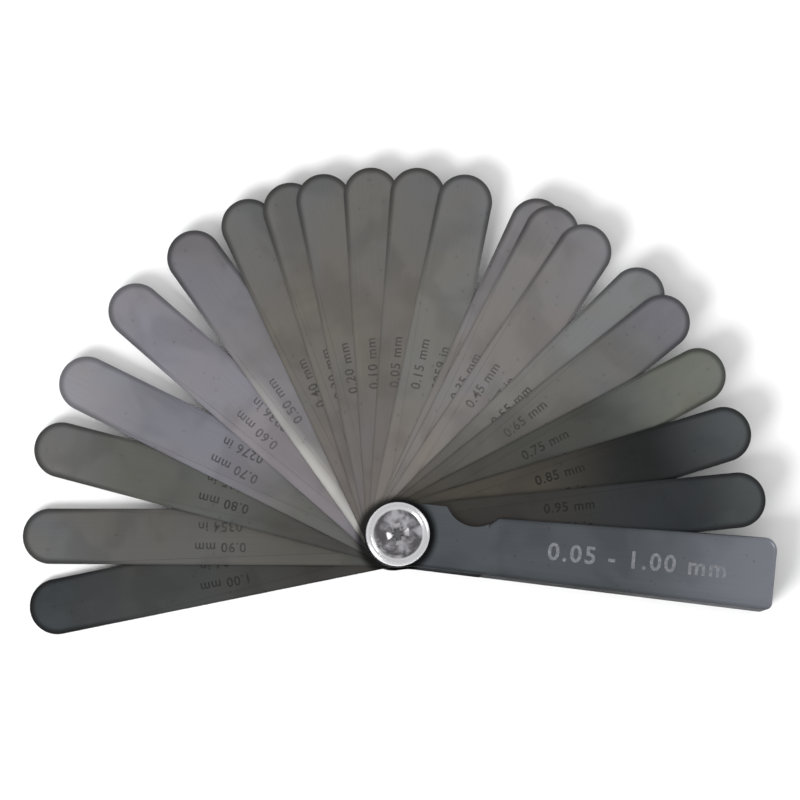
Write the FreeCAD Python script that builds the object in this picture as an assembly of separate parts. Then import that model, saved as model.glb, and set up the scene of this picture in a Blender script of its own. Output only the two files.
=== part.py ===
import FreeCAD, Part
import math
import os
from FreeCAD import Vector

# Folding feeler gauge, in millimetres.
# The origin is on the pivot axis at the back face of the case. +Z is the pivot axis and points out
# of the front plate, +X runs along the case from the pivot to its far end, and the blades open
# through +Y. Every node is placed as it stands with the blades fanned out.

# --- Blades -----------------------------------------------------------------------------------
BLADE_COUNT = 20
BLADE_STEP = 0.05              # difference between two neighbouring sizes, and the thinnest size
BLADE_REACH = 82.55            # pivot axis to tip: a 3 1/2 inch blade
BLADE_ROOT_RADIUS = 6.35       # half of a 1/2 inch blade, round about the pivot
BLADE_TIP_RADIUS = 6.15        # half width at the tip, which is fully round
# Where each blade stands in the fan, in degrees from +X, from the back of the stack to the front.
FAN_ANGLES = (197.5, 185.75, 171.25, 159.5, 144.75, 131.5, 121.0, 113.5, 107.75, 99.75,
              92.0, 84.0, 71.25, 68.5, 62.25, 50.75, 44.5, 33.75, 23.0, 11.75)

# --- Running gaps -----------------------------------------------------------------------------
LEAF_GAP = 0.02                # between two faces that slide on each other
BORE_CLEARANCE = 0.05          # radial, between the post and what turns on it or drops over it
THREAD_CLEARANCE = 0.05        # radial, between the screw and the threaded bore of the post
WASHER_CLEARANCE = 0.15        # radial, between the screw and the washer under its head
SPINE_CLEARANCE = 0.25         # between a closed blade and the inside of the case's spine

# --- Case: one sheet folded into a channel ------------------------------------------------------
SHEET = 0.8
BEND_RADIUS = 0.4              # inside radius of the two bends
TIP_MARGIN = 1.95              # case beyond the tips of the closed blades
SPINE_START = 20.0             # the spine joins the two plates from here to the far end
SPINE_MARGIN = 0.10            # spine edge outside the blade root, measured at the pivot
OPEN_SETBACK = 0.95            # open edge inside the blade root, measured at the pivot
SPINE_FLARE = 1.13             # degrees, the case widens towards its far end on both edges
OPEN_FLARE = 1.78
BOSS_MARGIN = 0.95             # round boss outside the blade roots
NECK_BLEND = 10.0              # radius between the round boss and the spine edge
NOTCH_RADIUS = 6.9             # finger notch in the open edge
NOTCH_X = 16.6
NOTCH_BITE = 2.9               # how much of the closed blades the notch lays bare
HORN_RADIUS = 0.8              # corner between boss and notch
NOTCH_EXIT_RADIUS = 1.5        # corner between notch and open edge
OPEN_CORNER_RADIUS = 3.0       # far corner on the open edge
SPINE_CORNER_RADIUS = 1.5      # far corner on the spine edge

# --- Pivot ------------------------------------------------------------------------------------
THREAD_RADIUS = 2.0            # M4 screw
SPIGOT_WALL = 0.55             # post wall where it is riveted into the back plate
POST_SHOULDER = 0.4            # step from the spigot to the full post
POST_SINK = 0.1                # the riveted end lies this far inside the back face
POST_TOP_SINK = 0.1            # the post ends this far below the front face
RIVET_SPREAD = 0.5             # the spigot is spread by this much at the back face
BASE_WASHER_RADIUS = 5.6
BASE_WASHER_THICKNESS = 0.4
SPRING_RADIUS = 5.4            # cone washer that presses the blades together
SPRING_THICKNESS = 0.25
SPRING_CONE = 0.3              # height of the cone beyond its thickness
HEAD_WASHER_RIM = 0.15         # washer showing around the screw head
HEAD_WASHER_THICKNESS = 0.5
HEAD_RADIUS = 7.05
HEAD_HEIGHT = 2.2
HEAD_WALL = 1.1                # height of the straight wall of the head
HEAD_UNDERCUT = 0.2            # chamfer under the head
RIM_BEVEL = 0.85               # width of the bevel from the wall of the head up to its crest
RIM_LAND = 0.45                # width of the flat crest
RIM_SLOPE = 0.45               # width of the slope from the crest down into the dish
DISH_DEPTH = 0.55
RECESS_WIDTH = 1.15            # cross recess for the driver
RECESS_LENGTH = 4.6
RECESS_DEPTH = 1.0
SCREW_TIP_CHAMFER = 0.4
SCREW_END_SINK = 0.6           # the screw ends this far above the back face

# --- Worked-out sizes -------------------------------------------------------------------------
SPIGOT_RADIUS = THREAD_RADIUS + THREAD_CLEARANCE + SPIGOT_WALL
POST_RADIUS = SPIGOT_RADIUS + POST_SHOULDER
BORE_RADIUS = POST_RADIUS + BORE_CLEARANCE
BOSS_RADIUS = BLADE_ROOT_RADIUS + BOSS_MARGIN
CASE_END = BLADE_REACH + TIP_MARGIN
HEAD_WASHER_RADIUS = HEAD_RADIUS + HEAD_WASHER_RIM
CREST_OUTER = HEAD_RADIUS - RIM_BEVEL
CREST_INNER = CREST_OUTER - RIM_LAND
DISH_RADIUS = CREST_INNER - RIM_SLOPE
HALF_COUNT = BLADE_COUNT // 2
BLADE_SIZES = ([BLADE_STEP * (BLADE_COUNT - 2 * i) for i in range(HALF_COUNT)]
               + [BLADE_STEP * (2 * i + 1) for i in range(BLADE_COUNT - HALF_COUNT)])
BASE_WASHER_Z = SHEET + LEAF_GAP
FIRST_BLADE_Z = BASE_WASHER_Z + BASE_WASHER_THICKNESS + LEAF_GAP
SPRING_Z = FIRST_BLADE_Z + sum(BLADE_SIZES) + LEAF_GAP * BLADE_COUNT
FRONT_PLATE_Z = SPRING_Z + SPRING_THICKNESS + SPRING_CONE + LEAF_GAP
CASE_HEIGHT = FRONT_PLATE_Z + SHEET
HEAD_WASHER_Z = CASE_HEIGHT + LEAF_GAP
HEAD_Z = HEAD_WASHER_Z + HEAD_WASHER_THICKNESS + LEAF_GAP
FAR = 50.0                     # reach of cutting tools past the part


def spine_edge(x):
    """Y of the outer spine edge of the case at x."""
    return -(BLADE_ROOT_RADIUS + SPINE_MARGIN + x * math.tan(math.radians(SPINE_FLARE)))


def open_edge(x):
    """Y of the open edge of the case at x."""
    return BLADE_ROOT_RADIUS - OPEN_SETBACK + x * math.tan(math.radians(OPEN_FLARE))


def prism(points, z, height):
    """Straight-sided solid on a closed outline of (x, y) points."""
    wire = Part.makePolygon([Vector(x, y, z) for x, y in points + points[:1]])
    return Part.Face(wire).extrude(Vector(0, 0, height))


def disc(radius, z, height, x=0.0, y=0.0):
    """Cylinder along Z."""
    return Part.makeCylinder(radius, height, Vector(x, y, z))


def ring(outer, inner, z, height):
    """Flat washer about the pivot axis."""
    return disc(outer, z, height).cut(disc(inner, z, height))


def turned(profile):
    """Solid of revolution about the pivot axis from closed (radius, z) points."""
    wire = Part.makePolygon([Vector(r, 0, z) for r, z in profile + profile[:1]])
    return Part.Face(wire).revolve(Vector(0, 0, 0), Vector(0, 0, 1), 360)


def upright_edges(shape, x, y, reach):
    """Edges along Z that stand within reach of (x, y)."""
    found = []
    for edge in shape.Edges:
        box = edge.BoundBox
        along_z = box.ZLength > CASE_HEIGHT / 2 and box.XLength < 1e-6 and box.YLength < 1e-6
        if along_z and math.hypot(box.XMin - x, box.YMin - y) < reach:
            found.append(edge)
    return found


def edges_on_line(shape, line_y, z_levels, x_from):
    """Level edges that lie on the slanted line y = line_y(x) at one of the z levels."""
    found = []
    for edge in shape.Edges:
        box = edge.BoundBox
        middle = box.Center
        on_level = box.ZLength < 1e-6 and any(abs(middle.z - z) < 1e-6 for z in z_levels)
        on_line = box.XLength > 1.0 and abs(middle.y - line_y(middle.x)) < 1e-3
        if on_level and on_line and middle.x > x_from:
            found.append(edge)
    return found


def blade_outline_face(z):
    """Tapered blade face along +X: two round ends joined by their common tangents."""
    distance = BLADE_REACH - BLADE_TIP_RADIUS
    lean = math.asin((BLADE_ROOT_RADIUS - BLADE_TIP_RADIUS) / distance)

    def on_root(angle):
        return Vector(BLADE_ROOT_RADIUS * math.cos(angle), BLADE_ROOT_RADIUS * math.sin(angle), z)

    def on_tip(angle):
        return Vector(distance + BLADE_TIP_RADIUS * math.cos(angle),
                      BLADE_TIP_RADIUS * math.sin(angle), z)

    touch = math.pi / 2 - lean
    edges = [Part.Arc(on_root(touch), on_root(math.pi), on_root(-touch)).toShape(),
             Part.LineSegment(on_root(-touch), on_tip(-touch)).toShape(),
             Part.Arc(on_tip(-touch), on_tip(0), on_tip(touch)).toShape(),
             Part.LineSegment(on_tip(touch), on_root(touch)).toShape()]
    return Part.Face(Part.Wire(edges))


def make_blade(z, thickness, angle):
    """One blade, bored for the post and turned to its place in the fan."""
    blade = blade_outline_face(z).extrude(Vector(0, 0, thickness))
    blade = blade.cut(disc(BORE_RADIUS, z, thickness))
    blade.rotate(Vector(0, 0, 0), Vector(0, 0, 1), angle)
    return blade


def make_blades():
    """All blades by node name, stacked from the back plate to the front plate."""
    blades = {}
    z = FIRST_BLADE_Z
    for thickness, angle in zip(BLADE_SIZES, FAN_ANGLES):
        name = "blade_" + ("%.2f" % thickness).replace(".", "_") + "mm"
        blades[name] = make_blade(z, thickness, angle)
        z += thickness + LEAF_GAP
    return blades


def make_case_blank():
    """Outside of the case as a full block: boss, neck, finger notch and flared grip."""
    boss_top = BOSS_RADIUS
    grip = prism([(0, spine_edge(0)), (CASE_END, spine_edge(CASE_END)),
                  (CASE_END, open_edge(CASE_END)), (NOTCH_X, open_edge(NOTCH_X)),
                  (NOTCH_X, boss_top), (0, boss_top)], 0, CASE_HEIGHT)
    blank = grip.fuse(disc(BOSS_RADIUS, 0, CASE_HEIGHT)).removeSplitter()
    notch_y = BLADE_ROOT_RADIUS - NOTCH_BITE + NOTCH_RADIUS
    blank = blank.cut(disc(NOTCH_RADIUS, 0, CASE_HEIGHT, NOTCH_X, notch_y))

    neck_x = math.sqrt(BOSS_RADIUS ** 2 - spine_edge(0) ** 2)
    horn_x = NOTCH_X - math.sqrt(NOTCH_RADIUS ** 2 - (notch_y - boss_top) ** 2)
    exit_x = NOTCH_X + math.sqrt(NOTCH_RADIUS ** 2 - (notch_y - open_edge(NOTCH_X)) ** 2)
    corners = ((neck_x, spine_edge(neck_x), NECK_BLEND),
               (horn_x, boss_top, HORN_RADIUS),
               (exit_x, open_edge(exit_x), NOTCH_EXIT_RADIUS),
               (CASE_END, open_edge(CASE_END), OPEN_CORNER_RADIUS),
               (CASE_END, spine_edge(CASE_END), SPINE_CORNER_RADIUS))
    for x, y, radius in corners:
        blank = blank.makeFillet(radius, upright_edges(blank, x, y, 0.5))
    return blank


def make_case():
    """Folded sheet: two plates joined by a spine with rounded bends."""
    blank = make_case_blank()
    front_of_spine = Part.makeBox(FAR + SPINE_START, 2 * FAR, CASE_HEIGHT, Vector(-FAR, -FAR, 0))
    boss_part = blank.common(front_of_spine)
    grip_part = blank.cut(front_of_spine)
    bends = edges_on_line(grip_part, spine_edge, (0, CASE_HEIGHT), SPINE_START)
    grip_part = grip_part.makeFillet(BEND_RADIUS + SHEET, bends)
    shell = boss_part.fuse(grip_part).removeSplitter()
    case = shell.cut(make_channel())
    case = case.cut(disc(BORE_RADIUS, FRONT_PLATE_Z, SHEET))
    return case.cut(rivet_shape(0.0, SHEET)).removeSplitter()


def make_channel():
    """Inside of the fold, with rounded corners along the spine."""

    def inner_edge(x):
        return spine_edge(x) + SHEET / math.cos(math.radians(SPINE_FLARE))

    height = CASE_HEIGHT - 2 * SHEET
    reach = CASE_END + FAR
    space = prism([(-FAR, -FAR), (SPINE_START, -FAR), (SPINE_START, inner_edge(SPINE_START)),
                   (reach, inner_edge(reach)), (reach, FAR), (-FAR, FAR)], SHEET, height)
    corners = edges_on_line(space, inner_edge, (SHEET, SHEET + height), SPINE_START)
    return space.makeFillet(BEND_RADIUS, corners)


def rivet_shape(z_low, z_high):
    """Spigot of the post with its end spread into the countersink of the back plate."""
    spread = SPIGOT_RADIUS + RIVET_SPREAD
    return turned([(0, z_low), (spread - z_low, z_low), (SPIGOT_RADIUS, RIVET_SPREAD),
                   (SPIGOT_RADIUS, z_high), (0, z_high)])


def make_pivot_post():
    """Threaded post that is riveted into the back plate and carries the blades."""
    post = disc(POST_RADIUS, SHEET, CASE_HEIGHT - POST_TOP_SINK - SHEET)
    post = post.fuse(rivet_shape(POST_SINK, SHEET)).removeSplitter()
    return post.cut(disc(THREAD_RADIUS + THREAD_CLEARANCE, -FAR, 2 * FAR))


def make_spring_washer():
    """Cone washer between the front blade and the front plate."""
    inner = BORE_RADIUS
    return turned([(SPRING_RADIUS, SPRING_Z), (SPRING_RADIUS, SPRING_Z + SPRING_THICKNESS),
                   (inner, SPRING_Z + SPRING_THICKNESS + SPRING_CONE),
                   (inner, SPRING_Z + SPRING_CONE)])


def make_pivot_screw():
    """Screw with a raised rim around a dished face and a cross recess."""
    top = HEAD_Z + HEAD_HEIGHT
    dish = top - DISH_DEPTH
    tip = SCREW_END_SINK
    screw = turned([(0, tip), (THREAD_RADIUS - SCREW_TIP_CHAMFER, tip),
                    (THREAD_RADIUS, tip + SCREW_TIP_CHAMFER), (THREAD_RADIUS, HEAD_Z),
                    (HEAD_RADIUS - HEAD_UNDERCUT, HEAD_Z), (HEAD_RADIUS, HEAD_Z + HEAD_UNDERCUT),
                    (HEAD_RADIUS, HEAD_Z + HEAD_WALL), (CREST_OUTER, top),
                    (CREST_INNER, top), (DISH_RADIUS, dish), (0, dish)])
    for length, width in ((RECESS_LENGTH, RECESS_WIDTH), (RECESS_WIDTH, RECESS_LENGTH)):
        corner = Vector(-length / 2, -width / 2, dish - RECESS_DEPTH)
        screw = screw.cut(Part.makeBox(length, width, 2 * RECESS_DEPTH, corner))
    return screw


def closed_angle():
    """Angle of a folded blade: its edge clears the near end of the spine by SPINE_CLEARANCE."""
    inner_y = -spine_edge(SPINE_START) - SHEET / math.cos(math.radians(SPINE_FLARE))
    lean = math.asin((BLADE_ROOT_RADIUS - BLADE_TIP_RADIUS) / (BLADE_REACH - BLADE_TIP_RADIUS))
    distance = math.hypot(SPINE_START, inner_y)
    edge_angle = math.asin((BLADE_ROOT_RADIUS + SPINE_CLEARANCE) / distance)
    return math.degrees(edge_angle - math.atan2(inner_y, SPINE_START) - lean)


def open_limit_angle():
    """Angle of a blade swung right round until it meets the outside of the spine."""
    outer_y = -spine_edge(SPINE_START)
    lean = math.asin((BLADE_ROOT_RADIUS - BLADE_TIP_RADIUS) / (BLADE_REACH - BLADE_TIP_RADIUS))
    distance = math.hypot(SPINE_START, outer_y)
    edge_angle = math.asin((BLADE_ROOT_RADIUS + SPINE_CLEARANCE) / distance)
    return 360 - math.degrees(edge_angle + math.atan2(outer_y, SPINE_START) - lean)


def main():
    os.makedirs("parts", exist_ok=True)
    nodes = {
        "case": make_case(),
        "pivot_post": make_pivot_post(),
        "base_washer": ring(BASE_WASHER_RADIUS, BORE_RADIUS, BASE_WASHER_Z, BASE_WASHER_THICKNESS),
        "spring_washer": make_spring_washer(),
        "head_washer": ring(HEAD_WASHER_RADIUS, THREAD_RADIUS + WASHER_CLEARANCE, HEAD_WASHER_Z,
                            HEAD_WASHER_THICKNESS),
        "pivot_screw": make_pivot_screw(),
    }
    nodes.update(make_blades())
    for name, shape in nodes.items():
        print(name, "valid", shape.isValid(), "solids", len(shape.Solids), "mm3 %.2f" % shape.Volume)
        shape.exportStep("parts/" + name + ".step")
    print("closed blade %.2f degrees, open limit %.2f degrees" % (closed_angle(), open_limit_angle()))
    print("case height %.2f, head from %.2f to %.2f" % (CASE_HEIGHT, HEAD_Z, HEAD_Z + HEAD_HEIGHT))


main()
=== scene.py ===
"""Looks of a folding feeler gauge: its steel blades, folded case, bright screw and etched numbers."""
import logging
import math
from collections.abc import Callable
from dataclasses import dataclass, field
from enum import Enum

import bmesh
import bpy
from mathutils import Matrix, Vector


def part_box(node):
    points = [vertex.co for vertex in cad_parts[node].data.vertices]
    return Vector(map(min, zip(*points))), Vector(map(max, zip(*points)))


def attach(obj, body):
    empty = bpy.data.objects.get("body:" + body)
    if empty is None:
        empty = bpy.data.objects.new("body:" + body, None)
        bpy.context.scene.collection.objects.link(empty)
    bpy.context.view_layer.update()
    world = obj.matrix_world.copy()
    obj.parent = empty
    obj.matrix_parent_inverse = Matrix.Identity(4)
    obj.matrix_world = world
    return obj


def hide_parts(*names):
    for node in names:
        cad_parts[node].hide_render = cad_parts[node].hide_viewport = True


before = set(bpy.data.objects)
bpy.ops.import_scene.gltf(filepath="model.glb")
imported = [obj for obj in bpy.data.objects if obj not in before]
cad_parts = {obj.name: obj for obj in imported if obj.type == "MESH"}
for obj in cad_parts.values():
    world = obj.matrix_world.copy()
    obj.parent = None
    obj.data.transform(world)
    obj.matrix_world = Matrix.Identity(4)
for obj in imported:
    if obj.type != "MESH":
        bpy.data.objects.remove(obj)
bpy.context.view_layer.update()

MM = 0.001
LOG = logging.getLogger("feeler_gauge")
Colour = tuple[float, float, float]
Span = tuple[float, float]                 # where a change starts and ends
Fade = tuple[float, float, float, float]   # a span, then the values at its start and end
Piece = bpy.types.Object
Material = bpy.types.Material
Tree = bpy.types.NodeTree
Node = bpy.types.Node
Socket = bpy.types.NodeSocket
UV_MAP = "blade_length"
LEVEL = 0.9                                # a face looks up when its normal's Z is over this
MERGE_REACH = 1e-7                         # metres, between points of a new piece that are one
NODE_MERGE_REACH = 1e-6                    # and between those of a CAD node
FLAT_ANGLE = math.radians(0.6)             # between faces that are one flat face
CORNER_ANGLE = math.radians(35.0)          # between faces that meet in a sharp edge
TIP_SHARE = 0.97                           # a blade's points beyond this share of its reach are its tip


# --- Small helpers


def deselect_all() -> None:
    """Leaves nothing selected."""
    bpy.ops.object.select_all(action="DESELECT")


def make_active(obj: Piece) -> None:
    """Selects only this object and makes it the active one.

    Args:
        obj: The object.
    """
    deselect_all()
    obj.select_set(True)
    bpy.context.view_layer.objects.active = obj


def apply_modifier(obj: Piece, kind: str, **settings: object) -> None:
    """Adds a modifier and applies it at once.

    Args:
        obj: The piece that is changed.
        kind: The modifier's type, such as "BEVEL".
        settings: Values set on the modifier before it is applied.
    """
    make_active(obj)
    modifier = obj.modifiers.new(kind.lower(), kind)
    for name, value in settings.items():
        setattr(modifier, name, value)
    bpy.ops.object.modifier_apply(modifier=modifier.name)


def soften_edges(obj: Piece, width: float, segments: int = 2, slot: int = -1) -> None:
    """Rounds every sharp edge of a piece a little.

    Args:
        obj: The piece.
        width: Width of the rounding in metres.
        segments: Facets across the rounding.
        slot: Material index of the rounding, or -1 for that of its neighbours.
    """
    apply_modifier(obj, "BEVEL", width=width, segments=segments, limit_method="ANGLE",
                   angle_limit=CORNER_ANGLE, material=slot, use_clamp_overlap=True,
                   miter_outer="MITER_ARC")


def smooth_by_angle(obj: Piece, degrees: float = 30.0) -> None:
    """Shades the piece smooth, apart from its sharp edges."""
    make_active(obj)
    bpy.ops.object.shade_smooth_by_angle(angle=math.radians(degrees))


def settle(obj: Piece) -> None:
    """Puts the piece's place into its mesh, so that its object sits at the origin."""
    make_active(obj)
    bpy.ops.object.transform_apply(location=True, rotation=True, scale=True)


def cleared_mesh(obj: Piece) -> bmesh.types.BMesh:
    """Takes hold of a piece's mesh with nothing selected.

    Args:
        obj: The piece, in edit mode.

    Returns:
        The mesh.
    """
    mesh = bmesh.from_edit_mesh(obj.data)
    for vert in mesh.verts:
        vert.select_set(False)
    mesh.select_flush(False)
    return mesh


def pick_verts(obj: Piece, wanted: Callable[[Vector], bool]) -> None:
    """Selects vertices, and what lies between them.

    Args:
        obj: The piece, in edit mode.
        wanted: A test of a vertex's position.
    """
    mesh = cleared_mesh(obj)
    for vert in mesh.verts:
        if wanted(vert.co):
            vert.select_set(True)
    mesh.select_flush(True)
    bmesh.update_edit_mesh(obj.data)


def pick_level_faces(obj: Piece, way: int) -> None:
    """Selects the faces that look straight up or down.

    Args:
        obj: The piece, in edit mode.
        way: 1 for up, -1 for down.
    """
    mesh = cleared_mesh(obj)
    mesh.normal_update()
    for face in mesh.faces:
        if way * face.normal.z > LEVEL:
            face.select_set(True)
    bmesh.update_edit_mesh(obj.data)


def merged_copy(node: str, name: str) -> Piece:
    """Copies a CAD node's triangles into a new piece and joins them into clean faces.

    Args:
        node: The CAD node.
        name: Name of the new piece.

    Returns:
        The new piece.
    """
    piece = bpy.data.objects.new(name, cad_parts[node].data.copy())
    piece.data.name = name
    piece.data.materials.clear()
    bpy.context.scene.collection.objects.link(piece)
    make_active(piece)
    bpy.ops.object.mode_set(mode="EDIT")
    bpy.ops.mesh.select_all(action="SELECT")
    bpy.ops.mesh.remove_doubles(threshold=NODE_MERGE_REACH)
    bpy.ops.mesh.dissolve_limited(angle_limit=FLAT_ANGLE)
    bpy.ops.object.mode_set(mode="OBJECT")
    if piece.data.has_custom_normals:
        bpy.ops.mesh.customdata_custom_splitnormals_clear()
    return piece


def tip_angle(node: str) -> float:
    """Finds where a blade points.

    Args:
        node: The blade's CAD node.

    Returns:
        Its direction in radians about the pivot axis, from +X.
    """
    points = [vert.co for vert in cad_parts[node].data.vertices]
    reach = max(math.hypot(p.x, p.y) for p in points)
    tip = [p for p in points if math.hypot(p.x, p.y) > TIP_SHARE * reach]
    return math.atan2(sum(p.y for p in tip), sum(p.x for p in tip))


# --- Wiring of node trees, and shader groups that several finishes share


class Wiring:
    """Short ways to add nodes to a tree."""

    def __init__(self, tree: Tree) -> None:
        """Remembers the tree."""
        self.tree = tree

    def node(self, kind: str, **settings: object) -> Node:
        """Adds a node.

        Args:
            kind: The shader node's kind, such as "Math".
            settings: Its properties.

        Returns:
            The node.
        """
        node = self.tree.nodes.new("ShaderNode" + kind)
        for name, value in settings.items():
            setattr(node, name, value)
        return node

    def feed(self, socket: Socket, value: "Socket | float | Colour") -> None:
        """Feeds one input.

        Args:
            socket: The input.
            value: Another node's output, or a number, vector or colour.
        """
        if isinstance(value, Socket):
            self.tree.links.new(value, socket)
        elif socket.type == "RGBA":
            socket.default_value = (*value, 1.0)
        else:
            socket.default_value = value

    def feed_all(self, node: Node, **values: "Socket | float | Colour") -> Node:
        """Feeds inputs by name.

        Args:
            node: The node.
            values: What feeds each input, named with _ for a space.

        Returns:
            The same node.
        """
        for name, value in values.items():
            self.feed(node.inputs[name.replace("_", " ")], value)
        return node

    def result(self, node: Node, *values: "Socket | float | Colour") -> Socket:
        """Feeds a node's inputs in order.

        Args:
            node: The node.
            values: What feeds its first inputs.

        Returns:
            The node's first output.
        """
        for socket, value in zip(node.inputs, values):
            self.feed(socket, value)
        return node.outputs[0]

    def do(self, operation: str, *values: "Socket | float", clamp: bool = False) -> Socket:
        """Does one sum, such as "ADD", and may keep its result between 0 and 1."""
        return self.result(self.node("Math", operation=operation, use_clamp=clamp), *values)

    def vector(self, operation: str, *values: "Socket | Colour") -> Socket:
        """Does one sum on each channel of vectors or colours."""
        return self.result(self.node("VectorMath", operation=operation), *values)

    def tone(self, colour: "Socket | Colour", factor: "Socket | float") -> Socket:
        """Multiplies a colour or a vector by one value."""
        node = self.node("VectorMath", operation="SCALE")
        return self.feed_all(node, Vector=colour, Scale=factor).outputs[0]

    def ramp(self, value: Socket, low: "Socket | float", high: "Socket | float", at_low: float,
             at_high: float) -> Socket:
        """Smoothly maps a value that runs from low to high onto at_low to at_high."""
        node = self.node("MapRange", interpolation_type="SMOOTHSTEP")
        return self.feed_all(node, Value=value, From_Min=low, From_Max=high, To_Min=at_low,
                             To_Max=at_high).outputs["Result"]

    def split(self, vector: Socket) -> tuple[Socket, Socket, Socket]:
        """The X, Y and Z of a vector."""
        return tuple(self.feed_all(self.node("SeparateXYZ"), Vector=vector).outputs)

    def distance(self, x: Socket, y: Socket) -> Socket:
        """Distance from a centre, given the two ways from it."""
        return self.do("SQRT", self.do("ADD", self.do("MULTIPLY", x, x), self.do("MULTIPLY", y, y)))

    def noise(self, vector: Socket, scale: "Socket | float", detail: float, roughness: float,
              distortion: float = 0.0) -> Socket:
        """Adds a noise and gives its value."""
        return self.feed_all(self.node("TexNoise"), Vector=vector, Scale=scale, Detail=detail,
                             Roughness=roughness, Distortion=distortion).outputs["Fac"]


FLECK_CORE = 0.04                          # size of a fleck's even middle
BAND_CORE = 0.2                            # share of the outline band that is evenly dark


class ShaderGroups:
    """Node groups built once: grain, smudges, flecks and the darker band along a blade's outline."""

    def __init__(self) -> None:
        """Builds the four groups."""
        self.grain = self._grain()
        self.smudges = self._smudges()
        self.flecks = self._flecks()
        self.outline_band = self._outline_band()

    @staticmethod
    def _start(name: str, inputs: dict[str, float | None], outputs: list[str]
               ) -> tuple[Wiring, "bpy.types.NodeOutputs", Node]:
        """Opens a new group.

        Args:
            name: Name of the group.
            inputs: Default of each value input, or None for a vector.
            outputs: Names of the value outputs.

        Returns:
            The group's wiring, what its inputs bring in, and its output node.
        """
        tree = bpy.data.node_groups.new(name, "ShaderNodeTree")
        for label, default in inputs.items():
            kind = "NodeSocketVector" if default is None else "NodeSocketFloat"
            socket = tree.interface.new_socket(name=label, in_out="INPUT", socket_type=kind)
            if default is not None:
                socket.default_value = default
        for label in outputs:
            tree.interface.new_socket(name=label, in_out="OUTPUT", socket_type="NodeSocketFloat")
        given = tree.nodes.new("NodeGroupInput").outputs
        return Wiring(tree), given, tree.nodes.new("NodeGroupOutput")

    def _grain(self) -> Tree:
        """Fine lines left by grinding: Tone varies about 1 and Height feeds a bump.

        Returns:
            The group.
        """
        wiring, given, out = self._start(
            "grinding_lines", {"Vector": None, "Along": 0.05, "Across": 6.0, "Strength": 0.1},
            ["Tone", "Height"])
        stretch = wiring.feed_all(wiring.node("CombineXYZ"), X=given["Along"], Y=given["Across"],
                                  Z=given["Across"])
        stretched = wiring.vector("MULTIPLY", given["Vector"], stretch.outputs[0])
        lines = wiring.noise(stretched, 1.0, detail=3.0, roughness=0.65)
        swing = wiring.do("MULTIPLY", wiring.do("SUBTRACT", lines, 0.5), given["Strength"])
        wiring.feed_all(out, Tone=wiring.do("ADD", swing, 1.0), Height=lines)
        return wiring.tree

    def _smudges(self) -> Tree:
        """Soft patches of handling and oil: Mask runs from 0 to 1.

        Returns:
            The group.
        """
        wiring, given, out = self._start(
            "handling_smudges", {"Vector": None, "Scale": 0.08, "Low": 0.4, "High": 0.7}, ["Mask"])
        patches = wiring.noise(given["Vector"], given["Scale"], detail=2.5, roughness=0.5,
                               distortion=0.4)
        wiring.feed_all(out, Mask=wiring.ramp(patches, given["Low"], given["High"], 0.0, 1.0))
        return wiring.tree

    def _flecks(self) -> Tree:
        """Small separate spots of tarnish: Mask is 1 in a spot.

        Returns:
            The group.
        """
        wiring, given, out = self._start(
            "tarnish_flecks", {"Vector": None, "Scale": 0.6, "Size": 0.12}, ["Mask"])
        cells = wiring.feed_all(wiring.node("TexVoronoi"), Vector=given["Vector"],
                                Scale=given["Scale"])
        spots = wiring.ramp(cells.outputs["Distance"], FLECK_CORE, given["Size"], 1.0, 0.0)
        wiring.feed_all(out, Mask=spots)
        return wiring.tree

    def _outline_band(self) -> Tree:
        """Mask that is 1 at the outline of a tapered round-ended blade and fades out inwards.

        Returns:
            The group.
        """
        wiring, given, out = self._start(
            "outline_band", {"Vector": None, "Root": 6.35, "Tip": 6.15, "Span": 76.4, "Width": 1.0},
            ["Mask"])
        along, aside, _ = wiring.split(given["Vector"])
        share = wiring.do("DIVIDE", along, given["Span"], clamp=True)
        narrowing = wiring.do("SUBTRACT", given["Tip"], given["Root"])
        half_width = wiring.do("MULTIPLY_ADD", narrowing, share, given["Root"])
        past = wiring.do("SUBTRACT", along, wiring.do("MULTIPLY", share, given["Span"]))
        depth = wiring.do("SUBTRACT", half_width, wiring.distance(past, aside))
        start = wiring.do("MULTIPLY", given["Width"], BAND_CORE)
        wiring.feed_all(out, Mask=wiring.ramp(depth, start, given["Width"], 1.0, 0.0))
        return wiring.tree


# --- Finishes. Their lengths are in millimetres, and a tone is what a colour is multiplied by.


STEEL_METALLIC = 0.7                       # satin steel: part mirror, part matt
GLINT_STREAK_COLOUR: Colour = (0.72, 0.71, 0.68)      # painted glint: the light colour of a painted highlight streak on the steel
OIL_AND_SHADE_RING: Fade = (7.7, 9.5, 0.12, 1.0)        # tone of old oil and of painted shade about the screw head, against the radius from the pivot
OILED_TINT: Colour = (0.05, 0.05, 0.05)    # of what oiled steel mirrors when seen edge on
OILED_GLOSS = 0.1


@dataclass(frozen=True)
class Wear:
    """Marks of making and use on steel: grinding lines, smudges and flecks.

    Each pair of smudge tones or roughness changes is for clean steel, then for smudged steel.
    """

    lines_along: float = 0.05
    lines_across: float = 6.0
    lines_strength: float = 0.2
    smudge_scale: float = 0.08
    smudge_span: Span = (0.4, 0.7)
    smudge_tones: Span = (1.0, 0.88)
    roughness_changes: Span = (-0.03, 0.08)
    fleck_scale: float = 0.6
    fleck_size: float = 0.12
    fleck_tone: float = 0.9
    bump_height: float = 2e-6
    bump_strength: float = 0.4


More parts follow.
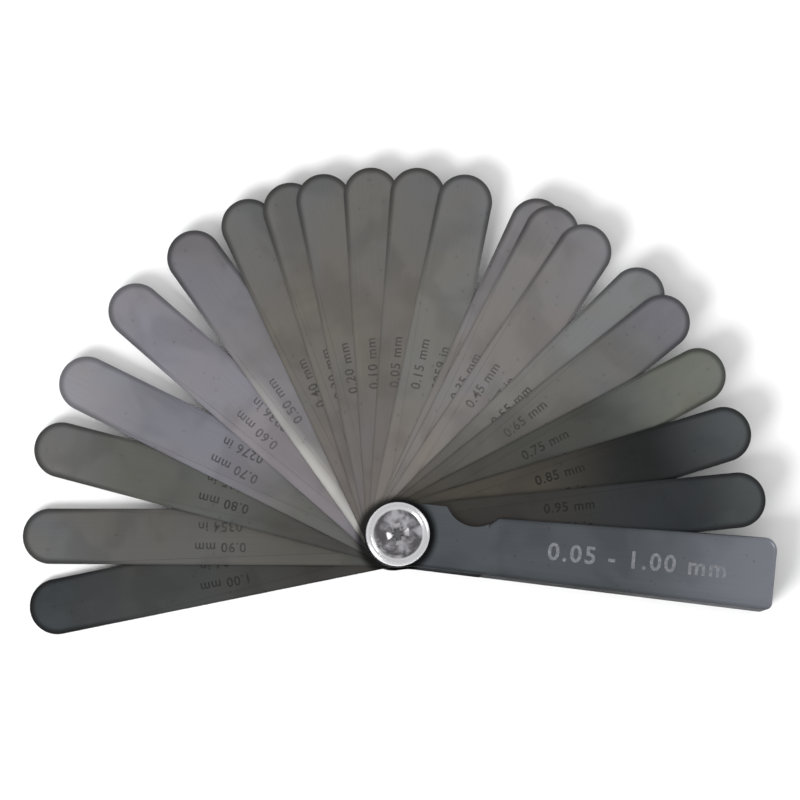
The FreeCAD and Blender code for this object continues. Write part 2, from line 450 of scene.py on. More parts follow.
class Surface(Wiring):
    """A new material with its Principled shader and short ways to wire it."""

    def __init__(self, name: str, base: Colour, metallic: float, roughness: float) -> None:
        """Starts the material with plain values.

        Args:
            name: Name of the material.
            base: Base colour, linear.
            metallic: Metallic value.
            roughness: Roughness value.
        """
        self.material = bpy.data.materials.new(name)
        self.material.use_nodes = True
        super().__init__(self.material.node_tree)
        self.tree.nodes.clear()
        self.plain_roughness = roughness
        self.shader = self.feed_all(self.node("BsdfPrincipled"), Base_Color=base, Metallic=metallic,
                                    Roughness=roughness)
        self.feed_all(self.node("OutputMaterial"), Surface=self.shader.outputs["BSDF"])

    def dull_at_grazing(self) -> None:
        """Keeps oiled steel dark where it is seen almost edge on."""
        self.feed_all(self.shader, Specular_Tint=OILED_TINT, Specular_IOR_Level=OILED_GLOSS)

    def coordinates(self, uv_map: str | None = None) -> Socket:
        """Gives coordinates in millimetres.

        Args:
            uv_map: A UV map, or None for Object coordinates.

        Returns:
            The coordinates.
        """
        if uv_map is None:
            place = self.node("TexCoord").outputs["Object"]
        else:
            place = self.node("UVMap", uv_map=uv_map).outputs["UV"]
        return self.tone(place, 1.0 / MM)

    def oil_and_shade_ring(self, x: Socket, y: Socket) -> Socket:
        """Tone of the old oil and the painted shade about the screw head, from a place beside the
        pivot.
        """
        return self.ramp(self.distance(x, y), *OIL_AND_SHADE_RING)

    def group(self, tree: Tree, vector: Socket, **values: "Socket | float") -> Node:
        """Places a shared group.

        Args:
            tree: The group.
            vector: What feeds its Vector input.
            values: What feeds its other inputs.

        Returns:
            The group's node.
        """
        return self.feed_all(self.node("Group", node_tree=tree), Vector=vector, **values)

    def patches(self, groups: ShaderGroups, vector: Socket, scale: float, span: Span) -> Socket:
        """Mask of soft patches, over the span of the noise that they fade across."""
        smudges = self.group(groups.smudges, vector, Scale=scale, Low=span[0], High=span[1])
        return smudges.outputs["Mask"]

    def blend(self, mask: Socket, low: "Socket | Colour", high: "Socket | Colour") -> Socket:
        """Mixes two colours by a mask.

        Args:
            mask: 0 gives low, 1 gives high.
            low: A colour or a socket.
            high: A colour or a socket.

        Returns:
            The mixed colour.
        """
        node = self.node("Mix", data_type="RGBA")
        return self.feed_all(node, Factor=mask, A=low, B=high).outputs["Result"]

    def wear(self, wear: Wear, groups: ShaderGroups, place: Socket, colour: "Socket | Colour"
             ) -> Socket:
        """Marks the steel, and sets its roughness and bump.

        Args:
            wear: The marks.
            groups: The shared shader groups.
            place: Coordinates of the marks.
            colour: Colour of the clean steel.

        Returns:
            The marked colour.
        """
        lines = self.group(groups.grain, place, Along=wear.lines_along, Across=wear.lines_across,
                           Strength=wear.lines_strength)
        smudge = self.patches(groups, place, wear.smudge_scale, wear.smudge_span)
        flecks = self.group(groups.flecks, place, Scale=wear.fleck_scale, Size=wear.fleck_size)
        roughness = (self.plain_roughness + change for change in wear.roughness_changes)
        self.feed_all(self.shader, Roughness=self.ramp(smudge, 0.0, 1.0, *roughness))
        self.bump(lines.outputs["Height"], wear.bump_height, wear.bump_strength)
        smudged = self.tone(colour, self.ramp(smudge, 0.0, 1.0, *wear.smudge_tones))
        lined = self.tone(smudged, lines.outputs["Tone"])
        return self.tone(lined, self.ramp(flecks.outputs["Mask"], 0.0, 1.0, 1.0, wear.fleck_tone))

    def colour(self, socket: Socket) -> None:
        """Feeds the base colour."""
        self.feed_all(self.shader, Base_Color=socket)

    def bump(self, height: Socket, distance: float, strength: float) -> None:
        """Feeds the normal from a height.

        Args:
            height: The height, 0 to 1.
            distance: What a height of 1 stands for, in metres.
            strength: Strength of the bump.
        """
        node = self.feed_all(self.node("Bump"), Strength=strength, Distance=distance, Height=height)
        self.feed_all(self.shader, Normal=node.outputs["Normal"])


BLADE_WEAR = Wear(lines_across=7.0, lines_strength=0.30, smudge_scale=0.075,
                  smudge_span=(0.40, 0.68), smudge_tones=(1.00, 0.83),
                  roughness_changes=(-0.03, 0.07), fleck_scale=0.30, fleck_size=0.16,
                  fleck_tone=0.84, bump_strength=0.35)
ETCHED_TONE = 0.44                         # of the numbers, against the steel about them
PATTERN_STEP = (137.0, 61.0, 0.0)          # between the patterns of one blade and the next
TARNISH_SHIFT = (400.0, 90.0, 0.0)         # keeps the tarnish apart from the smudges
TARNISH_SCALE = 0.05
TARNISH_SPAN: Span = (0.36, 0.66)
TARNISH_TINTS = ((0.985, 1.0, 1.02), (1.02, 1.0, 0.95))
BAND_WIDTH: Fade = (45.0, 80.0, 0.5, 1.6)  # of the dark outline, against the distance from the pivot
BAND_STRENGTH: Fade = (54.0, 78.0, 0.30, 1.0)
STREAK_SIDE: Span = (2.6, 5.6)             # the painted glint grows towards one edge of the blade
STREAK_LENGTH: Fade = (4.0, 62.0, 1.0, 0.0)


@dataclass(frozen=True)
class BladeFinish:
    """Ground spring steel of a blade.

    tip, body and root are the colours at the round end, over the middle and about the pivot.
    The spans give, from the pivot, where root turns into body and body into tip.
    rim is how dark the tip's edge is, and streak how strong the painted glint is: a painted highlight
    beside the pivot, along one edge.
    """

    slot: str
    tip: Colour
    body: Colour
    root: Colour
    root_span: Span = (18.0, 42.0)
    tip_span: Span = (58.0, 80.0)
    roughness: float = 0.38
    rim: float = 0.62
    streak: float = 0.0

    def etched(self) -> Colour:
        """Colour of the etched numbers, darker than the steel about them."""
        return tuple(ETCHED_TONE * (body + root) / 2 for body, root in zip(self.body, self.root))

    def build(self, name: str, groups: ShaderGroups, outline: "BladeOutline", place_in_set: int
              ) -> Material:
        """Makes the material of one blade.

        Args:
            name: Name of the material.
            groups: The shared shader groups.
            outline: Sizes of the blade, for the band along its edge.
            place_in_set: The blade's number, which gives each blade its own marks of use.

        Returns:
            The material.
        """
        surface = Surface(name, self.body, STEEL_METALLIC, self.roughness)
        place = surface.coordinates(UV_MAP)
        own = surface.vector("ADD", place, tuple(place_in_set * step for step in PATTERN_STEP))
        along, aside, _ = surface.split(place)
        steel = surface.blend(surface.ramp(along, *self.root_span, 0.0, 1.0), self.root, self.body)
        steel = surface.blend(surface.ramp(along, *self.tip_span, 0.0, 1.0), steel, self.tip)
        # painted glint: a bright highlight streak painted beside the pivot, along one edge
        if self.streak:
            beside_edge = surface.ramp(aside, *STREAK_SIDE, 0.0, self.streak)
            glint_mask = surface.do("MULTIPLY", beside_edge, surface.ramp(along, *STREAK_LENGTH))
            steel = surface.blend(glint_mask, steel, GLINT_STREAK_COLOUR)
        tarnish = surface.patches(groups, surface.vector("ADD", own, TARNISH_SHIFT), TARNISH_SCALE,
                                  TARNISH_SPAN)
        steel = surface.vector("MULTIPLY", steel, surface.blend(tarnish, *TARNISH_TINTS))
        worn = surface.wear(BLADE_WEAR, groups, own, steel)
        band = surface.group(groups.outline_band, place, Root=outline.root_radius / MM,
                             Tip=outline.tip_radius / MM, Span=outline.span / MM,
                             Width=surface.ramp(along, *BAND_WIDTH))
        darkness = surface.do("MULTIPLY", band.outputs["Mask"], surface.ramp(along, *BAND_STRENGTH))
        edged = surface.tone(worn, surface.do("MULTIPLY_ADD", darkness, -self.rim, 1.0))
        # darker about the screw head: old oil and painted shade
        surface.colour(surface.tone(edged, surface.oil_and_shade_ring(along, aside)))
        return surface.material


class BladeTone(Enum):
    """The colours that the blades of the set are given, at the tip, over the middle and about the
    pivot.
    """

    CHARCOAL = BladeFinish("blade_charcoal", (0.056, 0.062, 0.067), (0.066, 0.069, 0.068),
                           (0.059, 0.057, 0.054), rim=0.72)
    PEWTER = BladeFinish("blade_warm_grey", (0.155, 0.155, 0.156), (0.133, 0.130, 0.125),
                         (0.111, 0.110, 0.101))
    DULL = BladeFinish("blade_warm_grey", (0.173, 0.173, 0.174), (0.124, 0.127, 0.119),
                       (0.079, 0.078, 0.075))
    LAVENDER = BladeFinish("blade_blue_grey", (0.322, 0.317, 0.348), (0.240, 0.235, 0.266),
                           (0.140, 0.140, 0.132), rim=0.45)
    LILAC = BladeFinish("blade_blue_grey", (0.290, 0.286, 0.326), (0.280, 0.266, 0.295),
                        (0.246, 0.229, 0.250), rim=0.5)
    GLINT = BladeFinish("blade_blue_grey", (0.214, 0.210, 0.232), (0.239, 0.233, 0.250),
                        (0.270, 0.255, 0.260), (14.0, 52.0), roughness=0.34, streak=0.8)
    TAUPE = BladeFinish("blade_warm_grey", (0.176, 0.175, 0.173), (0.176, 0.165, 0.153),
                        (0.178, 0.164, 0.157))
    STONE = BladeFinish("blade_grey", (0.189, 0.189, 0.196), (0.199, 0.196, 0.184),
                        (0.212, 0.197, 0.187))
    ROSY = BladeFinish("blade_grey", (0.246, 0.241, 0.258), (0.237, 0.224, 0.224),
                       (0.236, 0.220, 0.208))
    PALE = BladeFinish("blade_grey", (0.243, 0.252, 0.262), (0.229, 0.229, 0.224),
                       (0.132, 0.124, 0.115))
    SHADED = BladeFinish("blade_warm_grey", (0.222, 0.218, 0.240), (0.176, 0.176, 0.172),
                         (0.127, 0.118, 0.105), (20.0, 58.0))
    MOSSY = BladeFinish("blade_warm_grey", (0.205, 0.217, 0.194), (0.076, 0.078, 0.070),
                        (0.078, 0.072, 0.063), tip_span=(48.0, 78.0))
    OLIVE = BladeFinish("blade_charcoal", (0.094, 0.103, 0.110), (0.020, 0.021, 0.021),
                        (0.075, 0.069, 0.060), (30.0, 56.0), (58.0, 82.0), rim=0.7)
    SLATE = BladeFinish("blade_charcoal", (0.092, 0.102, 0.110), (0.033, 0.037, 0.042),
                        (0.050, 0.047, 0.043), (24.0, 60.0), (64.0, 83.0), rim=0.7)


# How each blade looks, from the back of the stack to the front.
BLADE_TONES = (
    BladeTone.CHARCOAL, BladeTone.PEWTER, BladeTone.DULL, BladeTone.LAVENDER, BladeTone.LILAC,
    BladeTone.GLINT, BladeTone.TAUPE, BladeTone.TAUPE, BladeTone.TAUPE, BladeTone.TAUPE,
    BladeTone.TAUPE, BladeTone.STONE, BladeTone.ROSY, BladeTone.ROSY, BladeTone.ROSY,
    BladeTone.PALE, BladeTone.SHADED, BladeTone.MOSSY, BladeTone.OLIVE, BladeTone.SLATE)


@dataclass(frozen=True)
class CaseFinish:
    """Blue-grey sheet steel, paler towards the far end, with painted shade over the folded edge and the
    spine's outer wall.

    The fold runs fold_offset from the pivot and slopes away by fold_slope. fold_span and wall_span
    lie across it, from the spine's outside inwards.
    """

    name: str = "case_steel"
    near: Colour = (0.092, 0.101, 0.110)
    far: Colour = (0.197, 0.207, 0.236)
    fade_span: Span = (48.0, 84.0)
    fold_offset: float = 6.45
    fold_slope: float = math.tan(math.radians(1.13))
    fold_span: Span = (1.0, 2.8)
    fold_shade_tone: float = 0.92
    wall_span: Span = (0.2, 0.9)
    wall_shade_tone: float = 0.55
    roughness: float = 0.40
    wear: Wear = Wear(lines_strength=0.26, smudge_scale=0.07, smudge_span=(0.38, 0.70),
                      smudge_tones=(1.06, 0.88), fleck_scale=0.35, fleck_size=0.15, fleck_tone=0.80)

    def build(self, groups: ShaderGroups) -> Material:
        """Makes the material.

        Args:
            groups: The shared shader groups.

        Returns:
            The material.
        """
        surface = Surface(self.name, self.near, STEEL_METALLIC, self.roughness)
        surface.dull_at_grazing()
        place = surface.coordinates()
        x, y, _ = surface.split(place)
        steel = surface.blend(surface.ramp(x, *self.fade_span, 0.0, 1.0), self.near, self.far)
        fold = surface.do("MULTIPLY_ADD", x, self.fold_slope, self.fold_offset)
        inside = surface.do("ADD", y, fold)
        # painted shade over the bend and along the spine's outer wall
        steel = surface.tone(steel, surface.ramp(inside, *self.fold_span, self.fold_shade_tone, 1.0))
        steel = surface.tone(steel, surface.ramp(inside, *self.wall_span, self.wall_shade_tone, 1.0))
        worn = surface.wear(self.wear, groups, place, steel)
        # darker about the screw head: old oil and painted shade
        surface.colour(surface.tone(worn, surface.oil_and_shade_ring(x, y)))
        return surface.material


@dataclass(frozen=True)
class MetalFinish:
    """A metal that is the same all over its piece, apart from its wear."""

    name: str
    base: Colour
    roughness: float
    wear: Wear = Wear()
    oiled: bool = False

    def build(self, groups: ShaderGroups) -> Material:
        """Makes the material.

        Args:
            groups: The shared shader groups.

        Returns:
            The material.
        """
        surface = Surface(self.name, self.base, STEEL_METALLIC, self.roughness)
        if self.oiled:
            surface.dull_at_grazing()
        surface.colour(surface.wear(self.wear, groups, surface.coordinates(), self.base))
        return surface.material


@dataclass(frozen=True)
class ChromeFinish:
    """Bright plate of the screw head: a clean rim and a mottled dish inside it.

    rim_span is the radius over which the dish turns into the rim. mouth_span and recess_shade_span are
    heights in the driver recess, from the dish's floor; the recess's bottom is darkened to floor_tone
    as painted shade. roughness is the rim's and the dish's.
    """

    name: str = "bright_plate"
    rim: Colour = (0.74, 0.735, 0.76)
    dish: Colour = (0.52, 0.51, 0.54)
    stain: Colour = (0.12, 0.115, 0.125)
    recess: Colour = (0.50, 0.49, 0.51)
    rim_span: Span = (5.20, 5.65)
    mouth_span: Span = (-0.2, -0.05)
    # painted shade in the bottom of the recess: the heights it fades over, and its tone
    recess_shade_span: Span = (-0.9, -0.5)
    floor_tone: float = 0.30
    mottle_scale: float = 0.40
    mottle_span: Span = (0.30, 0.60)
    mottle_height: float = 8e-5
    mottle_bump: float = 0.6
    metallic: float = 0.8
    roughness: Span = (0.27, 0.28)

    def build(self, groups: ShaderGroups, dish_floor: float) -> Material:
        """Makes the material.

        Args:
            groups: The shared shader groups.
            dish_floor: Height of the dish's floor, below which the recess is.

        Returns:
            The material.
        """
        surface = Surface(self.name, self.rim, self.metallic, self.roughness[0])
        place = surface.coordinates()
        x, y, z = surface.split(place)
        in_dish = surface.ramp(surface.distance(x, y), *self.rim_span, 1.0, 0.0)
        height = surface.do("SUBTRACT", z, dish_floor)
        mottle = surface.patches(groups, place, self.mottle_scale, self.mottle_span)
        mottled = surface.blend(mottle, self.dish, self.stain)
        in_recess = surface.ramp(height, *self.mouth_span, 1.0, 0.0)
        mottled = surface.blend(in_recess, mottled, self.recess)
        # painted shade: the recess darkens towards its bottom
        mottled = surface.tone(mottled, surface.ramp(height, *self.recess_shade_span, self.floor_tone, 1.0))
        surface.colour(surface.blend(in_dish, self.rim, mottled))
        surface.feed_all(surface.shader, Roughness=surface.ramp(in_dish, 0.0, 1.0, *self.roughness))
        surface.bump(surface.do("MULTIPLY", mottle, in_dish), self.mottle_height, self.mottle_bump)
        return surface.material


@dataclass(frozen=True)
class MarkFinish:
    """Etched numbers: dull, darker or lighter than the steel about them, and faded in patches."""

    name: str
    base: Colour
    roughness: float = 0.5
    fade_scale: float = 1.4
    fade_span: Span = (0.35, 0.75)
    fade_tone: float = 1.5

    def build(self, groups: ShaderGroups) -> Material:
        """Makes the material.

        Args:
            groups: The shared shader groups.

        Returns:
            The material.
        """
        surface = Surface(self.name, self.base, STEEL_METALLIC, self.roughness)
        uneven = surface.patches(groups, surface.coordinates(), self.fade_scale, self.fade_span)
        faded = tuple(self.fade_tone * channel for channel in self.base)
        surface.colour(surface.blend(uneven, self.base, faded))
        return surface.material


CASE_STEEL = CaseFinish()
CASE_EDGE = MetalFinish("case_edge", (0.125, 0.132, 0.145), 0.42, Wear(lines_strength=0.1), oiled=True)
TURNED_STEEL = MetalFinish("turned_steel", (0.40, 0.40, 0.39), 0.3, Wear(lines_strength=0.12))
SPRING_STEEL = MetalFinish("spring_washer_steel", (0.20, 0.20, 0.215), 0.34)
BLACK_OXIDE = MetalFinish("black_oxide", (0.022, 0.022, 0.024), 0.45)
CASE_MARK = MarkFinish("case_etching", (0.20, 0.207, 0.225))


# --- Pieces


@dataclass(frozen=True)
class BladeOutline:
    """Shape that all blades share, in metres."""

    reach: float = 82.55 * MM
    root_radius: float = 6.35 * MM
    tip_radius: float = 6.15 * MM
    bore_radius: float = 3.05 * MM
    points: int = 128

    @property
    def span(self) -> float:
        """Distance from the pivot to the centre of the round tip."""
        return self.reach - self.tip_radius


@dataclass
class BladePack:
    """The fan of blades, each with its etched size.

    A thin blade's edges are broken by thin_edge_break of its thickness.
    """

    groups: ShaderGroups
    outline: BladeOutline = field(default_factory=BladeOutline)
    edge_break: float = 0.05 * MM
    thin_edge_break: float = 0.3
    mark_height: float = 3.0 * MM
    mark_weight: float = 0.05 * MM
    mark_start: float = 33.0 * MM
    mark_row: float = 2.3 * MM
    mark_lift: float = 0.001 * MM
    mark_depth: float = 0.006 * MM

    def nodes(self) -> list[str]:
        """Names of the blades' nodes from the back of the stack to the front."""
        names = [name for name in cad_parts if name.startswith("blade_")]
        return sorted(names, key=lambda name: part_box(name)[0].z)

    def build(self) -> list[Piece]:
        """Makes all blades and their marks.

        Returns:
            The new pieces.
        """
        pieces = []
        for number, (node, tone) in enumerate(zip(self.nodes(), BLADE_TONES), start=1):
            finish = tone.value
            blade = self.make_blade(node)
            blade.data.materials.append(
                finish.build(node + "_steel", self.groups, self.outline, number))
            mark = self.make_mark(node)
            mark.data.materials.append(
                MarkFinish(node + "_etching", finish.etched()).build(self.groups))
            for piece in (blade, mark):
                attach(piece, node)
            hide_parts(node)
            pieces += [blade, mark]
            LOG.info("%s: %s steel, %d faces", blade.name, tone.name.lower(),
                     len(blade.data.polygons))
        return pieces

    def make_blade(self, node: str) -> Piece:
        """Models one blade along +X and turns it to its place in the fan.

        Args:
            node: The CAD node that it stands for.

        Returns:
            The blade.
        """
        low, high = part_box(node)
        thickness = high.z - low.z
        outline = self.outline
        deselect_all()
        bpy.ops.mesh.primitive_circle_add(vertices=outline.points, radius=outline.root_radius,
                                          fill_type="NOTHING", location=(0, 0, low.z))
        blade = bpy.context.object
        blade.name = node + "_leaf"
        settle(blade)
        bpy.ops.object.mode_set(mode="EDIT")
        pick_verts(blade, lambda place: place.x > 0.01 * MM)
        narrowing = outline.tip_radius / outline.root_radius
        bpy.ops.transform.resize(value=(narrowing, narrowing, 1), center_override=(0, 0, low.z))
        bpy.ops.transform.translate(value=(outline.span, 0, 0))
        bpy.ops.mesh.select_all(action="DESELECT")
        bpy.ops.mesh.primitive_circle_add(vertices=outline.points, radius=outline.bore_radius,
                                          fill_type="NOTHING", location=(0, 0, low.z))
        bpy.ops.mesh.select_all(action="SELECT")
        bpy.ops.mesh.bridge_edge_loops()
        bpy.ops.mesh.select_all(action="SELECT")
        bpy.ops.mesh.extrude_region_move(TRANSFORM_OT_translate={"value": (0, 0, thickness)})
        bpy.ops.mesh.select_all(action="SELECT")
        bpy.ops.mesh.normals_make_consistent(inside=False)
        bpy.ops.object.mode_set(mode="OBJECT")
        soften_edges(blade, min(self.edge_break, self.thin_edge_break * thickness))
        smooth_by_angle(blade)
        self.map_length(blade)
        blade.rotation_euler.z = tip_angle(node)
        settle(blade)
        return blade

    @staticmethod
    def map_length(blade: Piece) -> None:
        """Writes the blade's own length and width as a UV map, in metres.

        Args:
            blade: The blade, still along +X.
        """
        mesh = blade.data
        for layer in list(mesh.uv_layers):
            mesh.uv_layers.remove(layer)
        layer = mesh.uv_layers.new(name=UV_MAP)
        for loop in mesh.loops:
            layer.data[loop.index].uv = mesh.vertices[loop.vertex_index].co.xy

    def make_mark(self, node: str) -> Piece:
        """Writes a blade's thickness along it in millimetres and inches.

        Args:
            node: The blade's CAD node.

        Returns:
            The mark as one thin mesh.
        """
        size = float(node.removeprefix("blade_").removesuffix("mm").replace("_", "."))
        rows = (("%.2f mm" % size, self.mark_row), (("%.4f in" % (size / 25.4))[1:], -self.mark_row))
        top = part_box(node)[1].z + self.mark_lift
        texts = [write(text, self.mark_height, self.mark_weight, self.mark_depth,
                       (self.mark_start, y, top), spread=1.1) for text, y in rows]
        mark = join(texts, node + "_etching")
        mark.rotation_euler.z = tip_angle(node)
        settle(mark)
        return mark


def write(text: str, height: float, weight: float, depth: float,
          start: tuple[float, float, float], spread: float = 1.0) -> Piece:
    """Makes thin letters that lie flat and read along +X.

    Args:
        text: What to write.
        height: Size of the letters in metres.
        weight: How much every stroke is thickened on each side.
        depth: Thickness of the letters.
        start: Left end of the row at its middle height, on the surface.
        spread: Spacing of the letters.

    Returns:
        The letters as a mesh piece.
    """
    deselect_all()
    bpy.ops.object.text_add(location=start)
    letters = bpy.context.object
    letters.data.body = text
    letters.data.size = height
    letters.data.align_y = "CENTER"
    letters.data.space_character = spread
    letters.data.offset = weight
    letters.data.extrude = depth / 2
    letters.data.resolution_u = 3
    letters.location.z += depth / 2
    make_active(letters)
    bpy.ops.object.convert(target="MESH")
    settle(letters)
    return letters


def join(pieces: list[Piece], name: str) -> Piece:
    """Joins meshes into one piece and merges their shared corners.

    Args:
        pieces: The meshes.
        name: Name of the joined piece.

    Returns:
        The joined piece.
    """
    make_active(pieces[0])
    for piece in pieces:
        piece.select_set(True)
    bpy.ops.object.join()
    whole = pieces[0]
    whole.name = name
    bpy.ops.object.mode_set(mode="EDIT")
    bpy.ops.mesh.select_all(action="SELECT")
    bpy.ops.mesh.remove_doubles(threshold=MERGE_REACH)
    bpy.ops.mesh.normals_make_consistent(inside=False)
    bpy.ops.object.mode_set(mode="OBJECT")
    return whole


@dataclass
class FoldedCase:
    """The folded sheet, with softened edges and its size range etched on the front plate."""

    groups: ShaderGroups
    edge_break: float = 0.12 * MM
    mark_text: str = "0.05 - 1.00 mm"
    mark_height: float = 5.4 * MM
    mark_weight: float = 0.11 * MM
    mark_start: float = 33.5 * MM
    mark_middle: float = -0.4 * MM
    mark_depth: float = 0.012 * MM
    mark_lift: float = 0.001 * MM

    def build(self) -> list[Piece]:
        """Makes the case and its mark.

        Returns:
            The new pieces.
        """
        case = merged_copy("case", "folded_case")
        case.data.materials.append(CASE_STEEL.build(self.groups))
        case.data.materials.append(CASE_EDGE.build(self.groups))
        soften_edges(case, self.edge_break, slot=1)
        smooth_by_angle(case)
        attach(case, "case")
        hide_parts("case")
        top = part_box("case")[1].z
        mark = write(self.mark_text, self.mark_height, self.mark_weight, self.mark_depth,
                     (self.mark_start, self.mark_middle, top + self.mark_lift), spread=1.2)
        mark.name = "case_etching"
        mark.data.materials.append(CASE_MARK.build(self.groups))
        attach(mark, "case")
        LOG.info("%s: %d faces", case.name, len(case.data.polygons))
        return [case, mark]


@dataclass
class PivotHardware:
    """The screw with its washers and the riveted post."""

    groups: ShaderGroups
    head_radius: float = 7.05 * MM
    head_height: float = 2.2 * MM
    rim_middle: float = 6.2 * MM
    rim_height: float = 0.5 * MM
    rim_steps: int = 8
    rim_bulge: float = 1.5
    dish_radius: float = 5.35 * MM
    dish_depth: float = 0.55 * MM
    shank_radius: float = 2.0 * MM
    recess_length: float = 5.0 * MM
    recess_width: float = 1.9 * MM
    recess_depth: float = 1.0 * MM
    recess_floor: float = 0.40
    recess_over: float = 0.05 * MM
    recess_turn: float = math.radians(17.0)
    edge_break: float = 0.06 * MM
    head_break: float = 0.12 * MM
    points: int = 128

    def build(self) -> list[Piece]:
        """Makes the screw, both washers, the spring and the post.

        Returns:
            The new pieces.
        """
        steel = TURNED_STEEL.build(self.groups)
        pieces = [self.make_screw()]
        for node, material, slot, body in (
                ("pivot_post", steel, "plain_steel", "case"),
                ("base_washer", steel, "plain_steel", "case"),
                ("spring_washer", SPRING_STEEL.build(self.groups), "spring_steel", "case"),
                ("head_washer", BLACK_OXIDE.build(self.groups), "dark_washer", "head_washer")):
            piece = merged_copy(node, node + "_turned")
            piece.data.materials.append(material)
            soften_edges(piece, self.edge_break)
            smooth_by_angle(piece)
            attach(piece, body)
            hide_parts(node)
            LOG.info("%s: %d faces", piece.name, len(piece.data.polygons))
            pieces.append(piece)
        return pieces

    def make_screw(self) -> Piece:
        """Models the screw: shank, head, rounded rim, dish and cross recess.

        Returns:
            The screw.
        """
        low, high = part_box("pivot_screw")
        base = high.z - self.head_height
        wall = self.head_height - self.rim_height
        deselect_all()
        bpy.ops.mesh.primitive_cylinder_add(vertices=self.points, radius=self.head_radius,
                                            depth=wall, location=(0, 0, base + wall / 2))
        screw = bpy.context.object
        screw.name = "bright_screw"
        settle(screw)
        bpy.ops.object.mode_set(mode="EDIT")
        pick_level_faces(screw, 1)
        radius, z = self.head_radius, base + wall
        for next_radius, next_z in self.rim_profile(high.z):
            bpy.ops.mesh.extrude_region_move(
                TRANSFORM_OT_translate={"value": (0, 0, next_z - z)})
            shrink = next_radius / radius
            bpy.ops.transform.resize(value=(shrink, shrink, 1), center_override=(0, 0, next_z))
            radius, z = next_radius, next_z
        pick_level_faces(screw, -1)
        bpy.ops.mesh.inset(thickness=self.head_radius - self.shank_radius)
        bpy.ops.mesh.extrude_region_move(TRANSFORM_OT_translate={"value": (0, 0, low.z - base)})
        bpy.ops.mesh.select_all(action="SELECT")
        bpy.ops.mesh.normals_make_consistent(inside=False)
        bpy.ops.object.mode_set(mode="OBJECT")
        self.cut_recess(screw, high.z - self.dish_depth)
        soften_edges(screw, self.head_break, segments=3)
        smooth_by_angle(screw)
        screw.data.materials.append(
            ChromeFinish().build(self.groups, (high.z - self.dish_depth) / MM))
        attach(screw, "pivot_screw")
        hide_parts("pivot_screw")
        LOG.info("%s: %d faces", screw.name, len(screw.data.polygons))
        return screw

    def rim_profile(self, top: float) -> list[tuple[float, float]]:
        """Radius and height of each step over the rounded rim, from its outside to the dish.

        Args:
            top: Height of the rim's crest.

        Returns:
            The steps.
        """
        steps = []
        for step in range(1 - self.rim_steps, self.rim_steps + 1):
            share = abs(step) / self.rim_steps
            edge, drop = ((self.head_radius, self.rim_height) if step < 0
                          else (self.dish_radius, self.dish_depth))
            steps.append((self.rim_middle + share * (edge - self.rim_middle),
                          top - drop * share ** self.rim_bulge))
        return steps

    def cut_recess(self, screw: Piece, dish_z: float) -> None:
        """Sinks the driver recess into the dish.

        Args:
            screw: The screw.
            dish_z: Height of the dish's floor.
        """
        for turn in (0.0, math.pi / 2):
            deselect_all()
            bpy.ops.mesh.primitive_cube_add(
                size=1.0, location=(0, 0, dish_z + (self.recess_over - self.recess_depth) / 2))
            cutter = bpy.context.object
            cutter.scale = (self.recess_length, self.recess_width,
                            self.recess_over + self.recess_depth)
            cutter.rotation_euler.z = turn + self.recess_turn
            settle(cutter)
            bpy.ops.object.mode_set(mode="EDIT")
            pick_verts(cutter, lambda place: place.z < dish_z - self.recess_depth / 2)
            bpy.ops.transform.resize(value=(self.recess_floor, self.recess_floor, 1),
                                     center_override=(0, 0, dish_z))
            bpy.ops.object.mode_set(mode="OBJECT")
            apply_modifier(screw, "BOOLEAN", operation="DIFFERENCE", object=cutter, solver="EXACT")
            bpy.data.objects.remove(cutter)


# --- Studio


@dataclass(frozen=True)
class Lamp:
    """A round area light, placed in the camera's right, up and near directions.

    The soft lights aren't mirrored by the metal, and a glint light is nothing but mirrored.
    """

    name: str
    place: tuple[float, float, float]
    size: float
    power: float
    glint_only: bool = False


LAMPS = (Lamp("key", (-0.39, -0.39, 0.71), 0.42, 7.6),
         Lamp("fill", (0.05, 0.05, 0.90), 1.0, 3.2),
         Lamp("near_glint", (-1.32, -1.08, 0.95), 0.95, 8.0, True),
         Lamp("far_glint", (1.28, 0.66, 0.62), 0.70, 4.6, True))


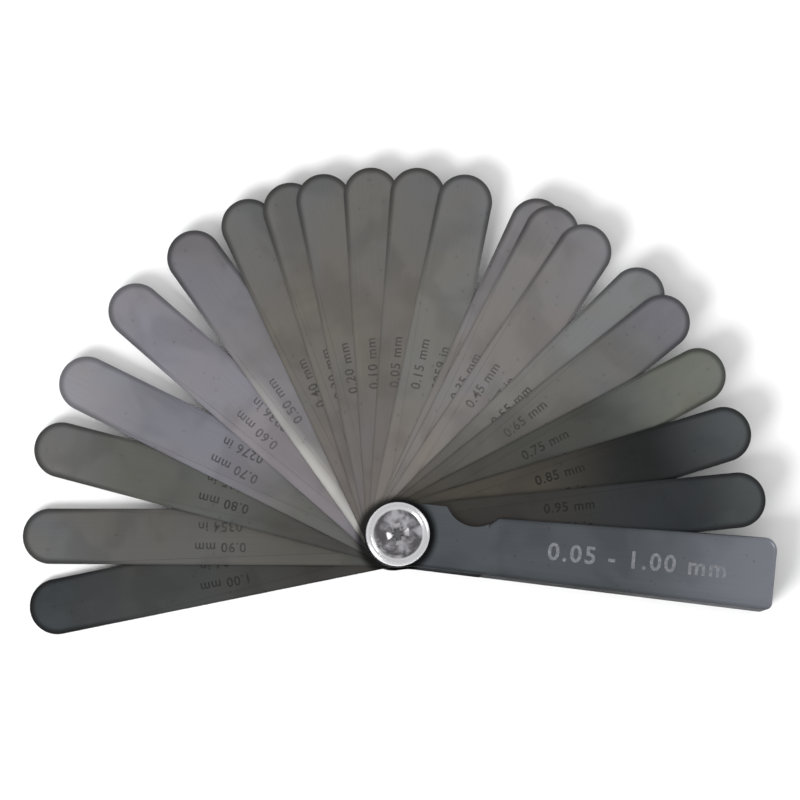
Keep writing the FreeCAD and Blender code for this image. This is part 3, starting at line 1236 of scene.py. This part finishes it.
@dataclass
class Studio:
    """Floor, light and camera."""

    floor_drop: float = 0.02 * MM
    floor_size: float = 3.0
    floor_tone: float = 0.88
    floor_roughness: float = 0.9
    overhead: float = 0.5
    horizon: float = 0.75
    dimming_span: Span = (0.2, 0.6)
    target: Vector = field(default_factory=lambda: Vector((-2.0, 30.3, 7.0)) * MM)
    lean: Vector = field(default_factory=lambda: Vector((-0.0585, -0.0883, 1.0)))
    image_up: Vector = field(default_factory=lambda: Vector((-0.0993, 0.995, 0.0)))
    view_width: float = 178.0 * MM
    lens: float = 250.0
    sensor: float = 36.0

    def build(self) -> None:
        """Sets the whole studio up."""
        toward = self.lean.normalized()
        across = self.image_up.cross(toward).normalized()
        axes = Matrix((across, toward.cross(across), toward)).transposed()
        self.make_floor()
        self.make_world()
        self.make_lights(axes)
        self.make_camera(axes)
        bpy.context.scene.view_settings.view_transform = "Standard"

    def make_floor(self) -> None:
        """Lays a plain pale floor under the gauge."""
        deselect_all()
        bpy.ops.mesh.primitive_plane_add(size=self.floor_size, location=(0, 0, -self.floor_drop))
        floor = bpy.context.object
        floor.name = "floor"
        surface = Surface("pale_floor", (self.floor_tone,) * 3, 0.0, self.floor_roughness)
        surface.feed_all(surface.shader, Specular_IOR_Level=0.0)
        floor.data.materials.append(surface.material)

    def make_world(self) -> None:
        """Surrounds the gauge with soft light that is dimmer overhead."""
        world = bpy.data.worlds.new("studio")
        bpy.context.scene.world = world
        world.use_nodes = True
        wiring = Wiring(world.node_tree)
        wiring.tree.nodes.clear()
        _, _, height = wiring.split(wiring.node("TexCoord").outputs["Generated"])
        strength = wiring.ramp(height, *self.dimming_span, self.horizon, self.overhead)
        background = wiring.feed_all(wiring.node("Background"), Color=(1.0, 1.0, 1.0),
                                     Strength=strength)
        wiring.feed_all(wiring.node("OutputWorld"), Surface=background.outputs[0])

    def make_lights(self, axes: Matrix) -> None:
        """Adds the soft lights and those that only show as reflections.

        Args:
            axes: The camera's right, up and near directions as columns.
        """
        for lamp in LAMPS:
            deselect_all()
            bpy.ops.object.light_add(type="AREA", location=self.target + axes @ Vector(lamp.place))
            light = bpy.context.object
            light.name = lamp.name
            light.data.shape = "DISK"
            light.data.size = lamp.size
            light.data.energy = lamp.power
            light.visible_glossy = lamp.glint_only
            light.visible_diffuse = not lamp.glint_only
            aim = self.target - light.location
            light.rotation_euler = aim.to_track_quat("-Z", "Y").to_euler()

    def make_camera(self, axes: Matrix) -> None:
        """Looks down on the gauge, a little from the near left.

        Args:
            axes: The camera's right, up and near directions as columns.
        """
        distance = self.view_width * self.lens / self.sensor
        deselect_all()
        bpy.ops.object.camera_add()
        camera = bpy.context.object
        camera.name = "camera"
        camera.data.lens = self.lens
        camera.data.sensor_width = self.sensor
        camera.data.clip_start = 0.01
        place = self.target + axes.col[2] * distance
        camera.matrix_world = Matrix.Translation(place) @ axes.to_4x4()
        bpy.context.scene.camera = camera


def main() -> None:
    """Builds the studio and every piece, and reports them."""
    logging.basicConfig(level=logging.INFO, format="%(name)s %(message)s")
    Studio().build()
    groups = ShaderGroups()
    pieces = (FoldedCase(groups).build() + PivotHardware(groups).build()
              + BladePack(groups).build())
    LOG.info("%d pieces", len(pieces))


if __name__ == "__main__":
    main()
